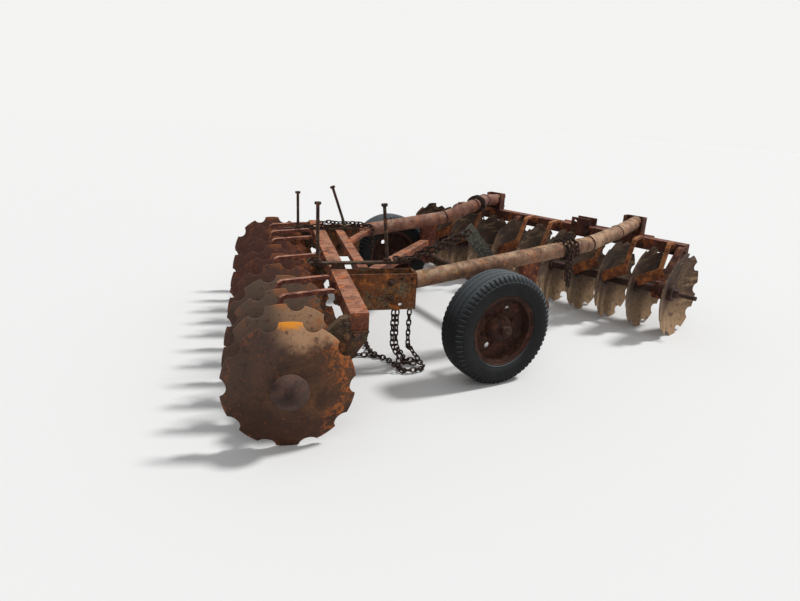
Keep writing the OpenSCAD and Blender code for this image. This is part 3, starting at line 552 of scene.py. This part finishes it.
def front_disc_steel():
    """Front discs: their own rust tones darkened as painted shade of their hollows, with painted sunlight in
    tan low down and a painted highlight along their rims.
    """
    look = Look("front_disc_steel")
    place = look.place(at=(5, 5, 0))
    axes, radius = gang_place(look, True)
    broad = look.noise(place, 5.0, 7.0, 0.66, 0.8)
    fine = look.noise(place, 60.0, 8.0, 0.7)
    dents = look.noise(place, 24.0, 8.0, 0.7)
    smear = look.noise(look.place(size=(3, 3, 14), at=(2, 0, 0)), 2.2, 6.0, 0.65)
    ragged_up = look.math("ADD", axes["Z"], look.math("MULTIPLY", broad, 0.30))
    # Dark base: the disc's own rust tones, darkened all over as painted shade of the hollow faces
    base = look.ramp(broad, [(0.34, linear(44, 32, 27)), (0.50, linear(74, 55, 43)),
                             (0.66, linear(108, 84, 62))])
    # Painted sunlight: pale tan on the lower part of each disc
    base = look.paint(base, (160, 130, 96), 0.75, look.step(ragged_up, 0.14, -0.10))
    base = look.paint(base, (142, 116, 88), 1.0, look.step(smear, 0.50, 0.64), look.step(radius, 0.10, 0.24))
    base = look.paint(base, (150, 96, 52), 0.7, look.step(fine, 0.56, 0.70))
    base = look.paint(base, (58, 40, 32), 0.8, look.step(dents, 0.52, 0.64))
    # Painted highlight: pale cream along the rims, where the sun catches them
    base = look.paint(base, (206, 182, 140), 0.7, look.step(radius, 0.315, 0.329),
                      look.step(broad, 0.40, 0.55))
    return finish_disc(look, base, radius, fine)


def rubber(name):
    """Old tyre rubber: nearly black, grey on the faces that look up."""
    look = Look(name)
    place = look.place()
    dust = look.noise(place, 9.0, 6.0, 0.65)
    base = look.ramp(dust, [(0.35, linear(6, 6, 6)), (0.65, linear(20, 20, 21))])
    base = look.paint(base, (88, 94, 98), 0.7, look.step(look.facing("Z"), 0.15, 0.95))
    fine = look.noise(place, 140.0, 6.0, 0.7)
    look.height(fine, 0.0006, 0.6)
    return look.finish(base, look.ramp(fine, grey((0.3, 0.66), (0.7, 0.86))))


def make_looks():
    return {
        # top and top_colour: a pale top on faces that look up, partly dust and partly a painted highlight of
        # sunlit tops
        "beam": rust("beam_rust", dark=(58, 32, 24), mid=(104, 60, 44), bright=(146, 88, 62),
                     fleck=(190, 104, 48), patch=4.0, top=0.7, top_colour=(186, 134, 106), lichen=0.35,
                     seed=1.0),
        "front_beam": rust("front_beam_rust", dark=(44, 26, 22), mid=(78, 44, 36), bright=(112, 68, 54),
                           fleck=(160, 88, 48), patch=4.0, top=0.6, top_colour=(150, 108, 92), lichen=0.15,
                           seed=2.0),
        "pipe": rust("pipe_rust", dark=(70, 48, 38), mid=(118, 88, 70), bright=(156, 124, 100),
                     fleck=(176, 112, 70), patch=5.0, top=0.7, top_colour=(194, 164, 134), lichen=0.5,
                     seed=3.0, mottle=0.8, lichen_colour=(184, 166, 120)),
        "far_pipe": rust("far_pipe_rust", dark=(68, 40, 34), mid=(110, 74, 62), bright=(144, 106, 90),
                         fleck=(166, 94, 60), patch=5.0, top=0.6, top_colour=(172, 138, 118), lichen=0.35,
                         seed=23.0, mottle=0.8, lichen_colour=(170, 150, 118)),
        "plate": rust("plate_rust", dark=(48, 32, 22), mid=(92, 52, 30), bright=(138, 76, 34),
                      fleck=(178, 104, 42), patch=6.0, top=0.4, top_colour=(140, 104, 84), lichen=0.95,
                      seed=4.0),
        "dark": rust("dark_rust", dark=(30, 22, 18), mid=(50, 34, 28), bright=(76, 50, 40),
                     fleck=(124, 78, 50), patch=7.0, top=0.4, top_colour=(104, 82, 68), lichen=0.5,
                     seed=5.0),
        "arm": rust("scraper_rust", dark=(56, 28, 22), mid=(92, 50, 40), bright=(128, 76, 60),
                    fleck=(170, 98, 54), patch=8.0, top=0.75, top_colour=(190, 142, 122), lichen=0.0,
                    seed=6.0),
        "front_arm": rust("front_scraper_rust", dark=(64, 34, 24), mid=(118, 68, 42), bright=(164, 102, 58),
                          fleck=(196, 120, 60), patch=8.0, top=0.6, top_colour=(200, 146, 96), lichen=0.0,
                          seed=7.0),
        "lever": rust("lever_grey", dark=(34, 32, 30), mid=(56, 54, 50), bright=(82, 80, 74),
                      fleck=(140, 140, 130), patch=22.0, top=0.3, top_colour=(120, 118, 110), lichen=0.9,
                      seed=8.0),
        "hanger": rust("hanger_rust", dark=(44, 32, 26), mid=(76, 52, 38), bright=(104, 72, 50),
                       fleck=(150, 92, 52), patch=6.0, top=0.3, top_colour=(132, 104, 84), lichen=0.85,
                       seed=9.0),
        "cast": rust("cast_rust", dark=(40, 28, 25), mid=(64, 46, 41), bright=(84, 62, 56),
                     fleck=(98, 66, 52), patch=5.0, top=0.35, top_colour=(118, 92, 82), lichen=0.05,
                     seed=10.0, mottle=0.4),
        "chain": rust("chain_rust", dark=(20, 14, 13), mid=(38, 26, 22), bright=(60, 40, 32),
                      fleck=(100, 66, 48), patch=20.0, top=0.3, top_colour=(96, 74, 62), lichen=0.1,
                      seed=11.0),
        "rim": rust("rim_rust", dark=(30, 16, 11), mid=(52, 29, 21), bright=(74, 43, 31),
                    fleck=(98, 58, 42), patch=6.0, top=0.4, top_colour=(128, 90, 74), lichen=0.1, seed=12.0,
                    mottle=0.6),
        "rear_disc": rear_disc_steel(),
        "front_disc": front_disc_steel(),
        "weld": rust("weld_rust", dark=(36, 24, 20), mid=(66, 42, 34), bright=(100, 66, 48),
                     fleck=(150, 92, 54), patch=30.0, top=0.4, top_colour=(140, 104, 84), lichen=0.1,
                     seed=13.0),
        "rubber": rubber("tyre_rubber"),
    }


NODE_LOOKS = {
    "beam": ["rear_gang_beam", "rear_cross_bar", "rear_tie_bar", "diagonal_brace"],
    "front_beam": ["front_gang_beam", "hitch_bracket", "hitch_cross_bar", "front_pipe_mounts",
                   "front_hangers"],
    "pipe": ["right_main_pipe"],
    "far_pipe": ["left_main_pipe"],
    "plate": ["right_side_plates", "left_side_plates"],
    "dark": ["right_clamp_bar", "left_clamp_bar", "long_bolts", "rockshaft_tube", "wheel_arms",
             "wheel_spindles"],
    "arm": ["rear_scrapers", "rockshaft_hangers"],
    "front_arm": ["front_scrapers"],
    "lever": ["lift_lever"],
    "hanger": ["rear_hangers"],
    "cast": ["rear_spools", "rear_gang_bolt", "front_spools", "front_gang_bolt"],
    "chain": ["lift_chain", "right_pipe_chain", "left_pipe_chain", "hanging_chains", "bar_chain"],
    "rim": ["right_rim", "right_hub", "left_rim", "left_hub"],
    "rear_disc": ["rear_discs"],
    "front_disc": ["front_discs"],
    "rubber": ["right_tyre", "left_tyre"],
}


def dress_nodes(looks):
    for look, names in NODE_LOOKS.items():
        for name in names:
            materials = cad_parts[name].data.materials
            materials.clear()
            materials.append(looks[look])


def sun(name, towards, strength, softness):
    data = bpy.data.lights.new(name, "SUN")
    data.energy = strength
    data.angle = softness
    light = bpy.data.objects.new(name, data)
    light.rotation_euler = towards.to_track_quat("Z", "Y").to_euler()
    bpy.context.scene.collection.objects.link(light)


def make_stage():
    bpy.ops.mesh.primitive_plane_add(size=FLOOR_SIZE)
    floor = bpy.context.object
    floor.name = "floor"
    look = Look("pale_floor")
    look.finish((FLOOR_SHADE, FLOOR_SHADE, FLOOR_SHADE * WARM, 1), FLOOR_ROUGH)
    floor.data.materials.append(look.material)
    world = bpy.data.worlds.new("studio")
    world.use_nodes = True
    tree = world.node_tree
    light = tree.nodes["Background"]
    light.inputs["Color"].default_value = WORLD_COLOUR
    light.inputs["Strength"].default_value = WORLD_STRENGTH
    pale = tree.nodes.new("ShaderNodeBackground")
    pale.inputs["Color"].default_value = (BACKDROP_SHADE, BACKDROP_SHADE, BACKDROP_SHADE * WARM, 1)
    ray = tree.nodes.new("ShaderNodeLightPath")
    seen = ray.outputs["Is Camera Ray"]
    for other in ("Is Glossy Ray", "Is Transmission Ray"):
        either = tree.nodes.new("ShaderNodeMath")
        either.operation = "MAXIMUM"
        tree.links.new(seen, either.inputs[0])
        tree.links.new(ray.outputs[other], either.inputs[1])
        seen = either.outputs[0]
    mix = tree.nodes.new("ShaderNodeMixShader")
    tree.links.new(seen, mix.inputs[0])
    tree.links.new(light.outputs[0], mix.inputs[1])
    tree.links.new(pale.outputs[0], mix.inputs[2])
    tree.links.new(mix.outputs[0], tree.nodes["World Output"].inputs["Surface"])
    bpy.context.scene.world = world
    sun("key", KEY_FROM, KEY_STRENGTH, KEY_SOFTNESS)
    sun("fill", FILL_FROM, FILL_STRENGTH, FILL_SOFTNESS)
    bpy.context.scene.view_settings.view_transform = "Standard"


def pipe_h(x):
    """Height of the main pipes' middle a distance ahead, on their long slope."""
    return PIPE_REAR_H + (PIPE_FRONT_H - PIPE_REAR_H) / (FIRST_BEND_X - SLOPE_X) * (x - SLOPE_X)


def pipe_start(y, f):
    """The rear end of a main pipe, where it leaves its box's front end."""
    x = (f + y * SIN) / COS
    return machine(x, y, pipe_h(x))


RIGHT_PIPE = [pipe_start(RIGHT_Y, RIGHT_BOX_FRONT), machine(FIRST_BEND_X, RIGHT_Y, PIPE_FRONT_H),
              machine(2.760, 0.738, 0.695), front(RIGHT_MOUNT_S, MOUNT_F, 0.706)]
LEFT_PIPE = [pipe_start(LEFT_Y, LEFT_BOX_FRONT), machine(LEFT_BEND_X, LEFT_Y, pipe_h(LEFT_BEND_X)),
             machine(2.235, 1.832, 0.738), machine(2.572, 2.150, 0.722), front(LEFT_MOUNT_S, MOUNT_F, 0.694)]


def wrap_path(start, end, first):
    """A helix of chain around a pipe from start towards end."""
    turn = facing_along(start, (end - start).normalized())
    radius = PIPE_R + LYING
    steps = WRAP_POINTS * WRAP_TURNS
    path = []
    for k in range(steps + 1):
        a = 2 * math.pi * WRAP_TURNS * k / steps
        up = first + WRAP_PITCH * a / (2 * math.pi)
        path.append(turn @ Vector((radius * math.cos(a), radius * math.sin(a), up)))
    return path


def make_lift_chain(chains):
    """Two strands from the lever's pin down to the right clamp bar, one sagging below the other."""
    on_bar = RIGHT_CLAMP_TOP + LYING
    pin_x, pin_h = LEVER_PIN
    strands = []
    for low, s in [(0, 0.896), (0.034, 0.861)]:
        sagging = [machine(pin_x - 0.004, BY_LEVER, pin_h - low), machine(1.240, BY_LEVER, 0.782 - low),
                   machine(1.120, BY_LEVER, 0.742 - low),
                   machine(1.024, 0.634 - low / 2, 0.704 - low / 2)]
        strands.append(sagging + [rear(s, 0.776, on_bar + 0.004), rear(s, 0.708, on_bar),
                                  rear(s, 0.662, on_bar)])
    chains("lift_chain", strands)


def make_pipe_chains(chains):
    """A chain wrapped round each main pipe, with its ends hanging down."""
    top = machine(RIGHT_TAIL_X, RIGHT_Y - TAIL_R, pipe_h(RIGHT_TAIL_X) + 0.004)
    wrap_from = RIGHT_WRAP_X - (RIGHT_PIPE[0] + MID).x
    chains("right_pipe_chain", [
        wrap_path(RIGHT_PIPE[0], RIGHT_PIPE[1], wrap_from),
        [top, top + Vector((0.004, -0.006, -0.120)), top + Vector((0.002, -0.005, -0.240))],
        [top + Vector((-0.030, 0.004, 0.010)), top + Vector((-0.024, -0.004, -0.100)),
         top + Vector((-0.020, -0.003, -0.200))]])
    leg = (LEFT_PIPE[3] - LEFT_PIPE[2]).normalized()
    out = Vector((leg.y, -leg.x, 0)).normalized()
    top = LEFT_PIPE[2] + leg * LEFT_TAIL_ON + out * TAIL_R
    chains("left_pipe_chain", [
        wrap_path(LEFT_PIPE[2], LEFT_PIPE[3], LEFT_WRAP_ON),
        [top, top + out * 0.006 - UP * 0.165, top + out * 0.004 - UP * 0.330]])


def make_hanging_chains(chains):
    """Three strands from the right box to the ground, and the rest of them lying there in a heap.

    Points are places ahead, along the rear gang and up.
    """
    hanging = []
    for f, ends in [(0.640, [(0.668, 0.732, 0.120), (0.692, 0.712, 0.030)]),
                    (0.662, [(0.694, 0.760, 0.120), (0.744, 0.828, 0.034)]),
                    (0.735, [(0.770, 0.800, 0.120), (0.826, 0.800, 0.040)])]:
        hanging.append([(f, HANG_S, HANG_TOP), (f, HANG_S, HANG_LOW)] + ends)
    lying = [[(0.690, 0.706, 0.004), (0.766, 0.690, 0.012), (0.842, 0.738, 0.004), (0.826, 0.806, 0.015),
              (0.752, 0.830, 0.018), (0.724, 0.772, 0.026), (0.790, 0.744, 0.030)],
             [(0.708, 0.700, 0.005), (0.617, 0.933, 0.002), (0.437, 0.985, 0.004)],
             [(0.598, 0.930, 0.008), (0.561, 1.063, 0.002), (0.569, 1.293, 0.003)]]
    chains("hanging_chains", [[rear(s, f, h) for f, s, h in row] for row in hanging]
           + [[rear(s, f, LYING + h) for f, s, h in row] for row in lying])


def make_bar_chain(chains):
    """Chain along the left clamp bar, heaped in the middle, with one end over the bar's front."""
    on_bar = LEFT_CLAMP_TOP + LYING
    along_bar = [(1.994, 0.214, on_bar), (1.994, 0.340, on_bar), (1.994, 0.484, on_bar)]
    over_end = [(1.994, 0.572, on_bar), (1.992, 0.639, on_bar), (1.996, 0.727, 0.634), (1.996, 0.738, 0.560),
                (1.994, 0.734, 0.420)]
    heaped = [(2.008, 0.330, on_bar + 0.016), (1.984, 0.396, on_bar + 0.034), (2.004, 0.462, on_bar + 0.022),
              (2.014, 0.528, on_bar + 0.020), (1.982, 0.588, on_bar + 0.026), (1.990, 0.650, on_bar + 0.020),
              (2.002, 0.716, on_bar - 0.004)]
    chains("bar_chain", [[rear(s, f, h) for s, f, h in row] for row in (along_bar, over_end, heaped)])


def make_chains():
    rolls = random.Random(7)

    def chains(node, paths):
        shape = Shape()
        for path in paths:
            add_chain(shape, path, rolls)
        shape.piece(node + "_links", "chain", "frame", [node])

    make_lift_chain(chains)
    make_pipe_chains(chains)
    make_hanging_chains(chains)
    make_bar_chain(chains)


def tyre_row(step, wear):
    """One section of the tyre: points of radius and place across, all the way round its outline."""
    phase = step % TREAD_STEPS
    zig = ZIGZAG * (abs(phase - TREAD_STEPS / 2) / (TREAD_STEPS / 4) - 1)
    slotted = phase in SLOT_STEPS
    row = [(r - dr * slotted, w - dw * slotted) for r, w, dr, dw in TYRE_HALF]
    for across, half, deep in GROOVES:
        for off, down in [(GROOVE_EDGE, 0), (1, 0), (GROOVE_FLOOR, deep), (-GROOVE_FLOOR, deep), (-1, 0),
                          (-GROOVE_EDGE, 0)]:
            w = across + off * half
            row.append((CROWN_R - CROWN_DROP * (w / CROWN_HALF) ** 2 - down - wear, w + zig))
    return row + [(r - dr * slotted, dw * slotted - w) for r, w, dr, dw in reversed(TYRE_HALF)]


def make_tyre(side):
    centre = WHEELS[side][0]
    count = TREAD_TURNS * TREAD_STEPS
    rows = []
    for k in range(count):
        angle = 2 * math.pi * k / count
        wear = WEAR * (1 + math.sin(3 * angle + 1)) / 2
        rows.append([(r * math.cos(angle), w, r * math.sin(angle)) for r, w in tyre_row(k, wear)])
    shape = Shape()
    shape.rows(rows, Matrix.Translation(machine(*centre)), joined=True)
    shape.piece(side + "_tyre_tread", "rubber", side + "_wheel", [side + "_tyre"], 28)


def make_wheel_details(side):
    """Rolled rim flanges, a domed boss over the hub with its cap, and the bolts around it."""
    centre, out = WHEELS[side]
    at = facing_along(machine(*centre), (0, out, 0))
    shape = Shape()
    for across in (FLANGE_OUT, -FLANGE_OUT):
        ring = [at @ Vector((x, y, across)) for x, y in circle(FLANGE_R, 96)]
        shape.tube(ring, lambda i: FLANGE_WIRE, 8, joined=True)
    shape.stack(at, BOSS, 40)
    shape.stack(at, HUB_CAP, 32)
    for x, y in circle(WHEEL_BOLT_R, WHEEL_BOLTS, WHEEL_BOLT_TURN):
        add_bolt(shape, at @ Vector((x, y, WHEEL_BOLT_OUT)), at.to_3x3() @ UP, WHEEL_BOLT)
    shape.piece(side + "_wheel_details", "rim", side + "_wheel")


def add_bolt(shape, spot, look, size):
    """A washer, a hexagon nut with rounded corners and the end of its bolt, standing on a face."""
    at = facing_along(spot, look)
    high = 0.2 * size
    shape.stack(at, [(1.15 * size, -0.002), (1.15 * size, high), (0.9 * size, high)], 20)
    shape.stack(at, [(0.92 * size, high), (0.92 * size, high + 0.62 * size),
                     (0.78 * size, high + 0.78 * size)], 6, 0.4)
    shape.stack(at, [(0.5 * size, high), (0.5 * size, high + 1.18 * size),
                     (0.42 * size, high + 1.26 * size)], 10)


def front_back(s, f, h):
    """A point of the front gang counted from its left end."""
    return front(GANG_LEN - s, f, h)


def add_scraper_bolts(shape):
    """The ends of each scraper's bolt, behind its foot and ahead of the beam."""
    for at, ahead, gaps, place in [(rear, REAR_AHEAD, REAR_SCRAPERS, REAR_SCRAPER_S),
                                   (front_back, FRONT_AHEAD_WAY, FRONT_SCRAPERS, FRONT_SCRAPER_S)]:
        for gap in gaps:
            s = gap * PITCH + place
            add_bolt(shape, at(s, BEAM_REAR - SCRAPER_T, SCRAPER_BOLT_H), -ahead, BOLT)
            add_bolt(shape, at(s, BEAM_FRONT, SCRAPER_BOLT_H), ahead, BOLT)


def add_hanger_bolts(shape):
    for at, left, gaps in [(rear, REAR_LEFT, REAR_HANGERS), (front_back, -FRONT_LEFT_WAY, FRONT_HANGERS)]:
        for gap in gaps:
            for side in (1, -1):
                s = gap * PITCH + HANGER_S + side * HANGER_HALF
                for f, h in HANGER_BOLTS:
                    add_bolt(shape, at(s, f, h), left * side, BOLT)


def add_long_bolts(shape):
    """The washer, nut and bare thread at the foot of each standing bolt."""
    for s, f, top, lean in LONG_BOLTS:
        at = facing_along(rear(s, f, top), UP)
        shape.stack(at, LONG_WASHER, 20)
        shape.stack(at, LONG_NUT, 6, 0.3)
        look = UP * math.cos(math.radians(lean)) + REAR_AHEAD * math.sin(math.radians(lean))
        at = facing_along(rear(s, f, top), look)
        for k in range(THREAD_TURNS):
            up = THREAD_FROM + THREAD_PITCH * k
            shape.stack(at, [(THREAD_ROOT, up), (THREAD_CREST, up + THREAD_PITCH / 2),
                             (THREAD_ROOT, up + THREAD_PITCH)], 16)


def add_plate_bolts(shape):
    """Bolts of the hitch bracket, of the pipes' mounts and of the side plates."""
    for side in (-1, 1):
        for h in HITCH_BOLT_HEIGHTS:
            spot = front(HITCH_S + side * HITCH_BOLT_SIDE, BEAM_REAR - HITCH_T, h)
            add_bolt(shape, spot, -FRONT_AHEAD_WAY, BIG_BOLT)
    for s in (RIGHT_MOUNT_S, LEFT_MOUNT_S):
        for side in (-1, 1):
            for h in MOUNT_BOLT_HEIGHTS:
                spot = front(s + side * MOUNT_BOLT_SIDE, MOUNT_F + MOUNT_T, h)
                add_bolt(shape, spot, FRONT_AHEAD_WAY, BIG_BOLT)
    for end, out in [(0, -1), (1, 1)]:
        for box, box_front in [(RIGHT_BOX, RIGHT_BOX_FRONT), (LEFT_BOX, LEFT_BOX_FRONT)]:
            for h in BOX_BOLT_HEIGHTS:
                add_bolt(shape, rear(box[end], box_front - BOX_BOLT_BACK, h), REAR_LEFT * out, BIG_BOLT)


def make_bolts():
    shape = Shape()
    add_scraper_bolts(shape)
    add_hanger_bolts(shape)
    add_long_bolts(shape)
    add_plate_bolts(shape)
    shape.piece("frame_bolts", "dark", "frame")


def line(a, b):
    """Points along a straight weld."""
    count = max(2, int((b - a).length / BEAD_STEP))
    return [a.lerp(b, k / count) for k in range(count + 1)]


def mitre(before, at, after, radius):
    """The closed line round a pipe where its two legs meet."""
    into, out = (at - before).normalized(), (after - at).normalized()
    return cut(at, into, (into + out).normalized(), radius)


def cut(start, look, normal, radius):
    """The closed line where a round pipe meets a flat face."""
    side = look.cross(UP).normalized()
    over = side.cross(look)
    ring = []
    for x, y in circle(radius, RING_POINTS):
        spoke = side * x + over * y
        ring.append(start + spoke - look * (spoke.dot(normal) / look.dot(normal)))
    return ring


def make_welds():
    shape = Shape()
    beads = random.Random(11)

    def bead(path, radius=BEAD, joined=False):
        shape.tube(path, lambda i: radius * (0.82 + 0.22 * (i % 2) + beads.uniform(-0.12, 0.18)), 6, joined)

    for pipe in (RIGHT_PIPE, LEFT_PIPE):
        for before, at, after in zip(pipe, pipe[1:], pipe[2:]):
            bead(mitre(before, at, after, PIPE_R + MITRE_RISE), MITRE_BEAD, True)
        bead(cut(pipe[0], (pipe[1] - pipe[0]).normalized(), REAR_AHEAD, PIPE_R), BOX_BEAD, True)
        bead(cut(pipe[-1], (pipe[-1] - pipe[-2]).normalized(), FRONT_AHEAD_WAY, PIPE_R), MOUNT_BEAD, True)
    for at, gaps in [(rear, REAR_HANGERS), (front_back, FRONT_HANGERS)]:
        for gap in gaps:
            for side in (HANGER_HALF, -HANGER_HALF):
                s = gap * PITCH + HANGER_S + side
                bead(line(at(s, BEAM_REAR, BEAM_BOTTOM), at(s, BEAM_REAR, HANGER_WELD_TOP)))
                bead(line(at(s, BEAM_REAR, BEAM_BOTTOM), at(s, BEAM_FRONT, BEAM_BOTTOM)))
    for s in RIGHT_BOX + LEFT_BOX:
        bead(line(rear(s, BEAM_FRONT, BEAM_BOTTOM), rear(s, BEAM_FRONT, BEAM_TOP)))
    for s in (RIGHT_CLAMP_S, LEFT_CLAMP_S):
        for side in (-CLAMP_HALF, CLAMP_HALF):
            bead(line(rear(s + side, BEAM_REAR, BEAM_TOP), rear(s + side, BEAM_FRONT, BEAM_TOP)))
    for s in (RIGHT_BOX[1], LEFT_BOX[0]):
        corner = rear(s, CROSS_BAR_REAR, BEAM_TOP)
        bead(line(corner, rear(s, CROSS_BAR_FRONT, BEAM_TOP)))
        bead(line(corner, rear(s, CROSS_BAR_REAR, BEAM_TOP - CROSS_BAR_H)))
    for s in (RIGHT_MOUNT_S, LEFT_MOUNT_S):
        ahead = MOUNT_F + MOUNT_T
        for side in (-MOUNT_HALF, MOUNT_HALF):
            bead(line(front(s + side, MOUNT_F - MOUNT_DEEP, BEAM_TOP), front(s + side, ahead, BEAM_TOP)))
        bead(line(front(s - MOUNT_HALF, ahead, BEAM_TOP), front(s + MOUNT_HALF, ahead, BEAM_TOP)))
    shape.piece("frame_welds", "weld", "frame", crease=60)


make_camera()
looks = make_looks()
dress_nodes(looks)
for side in ("right", "left"):
    make_tyre(side)
    make_wheel_details(side)
make_chains()
make_bolts()
make_welds()
make_stage()
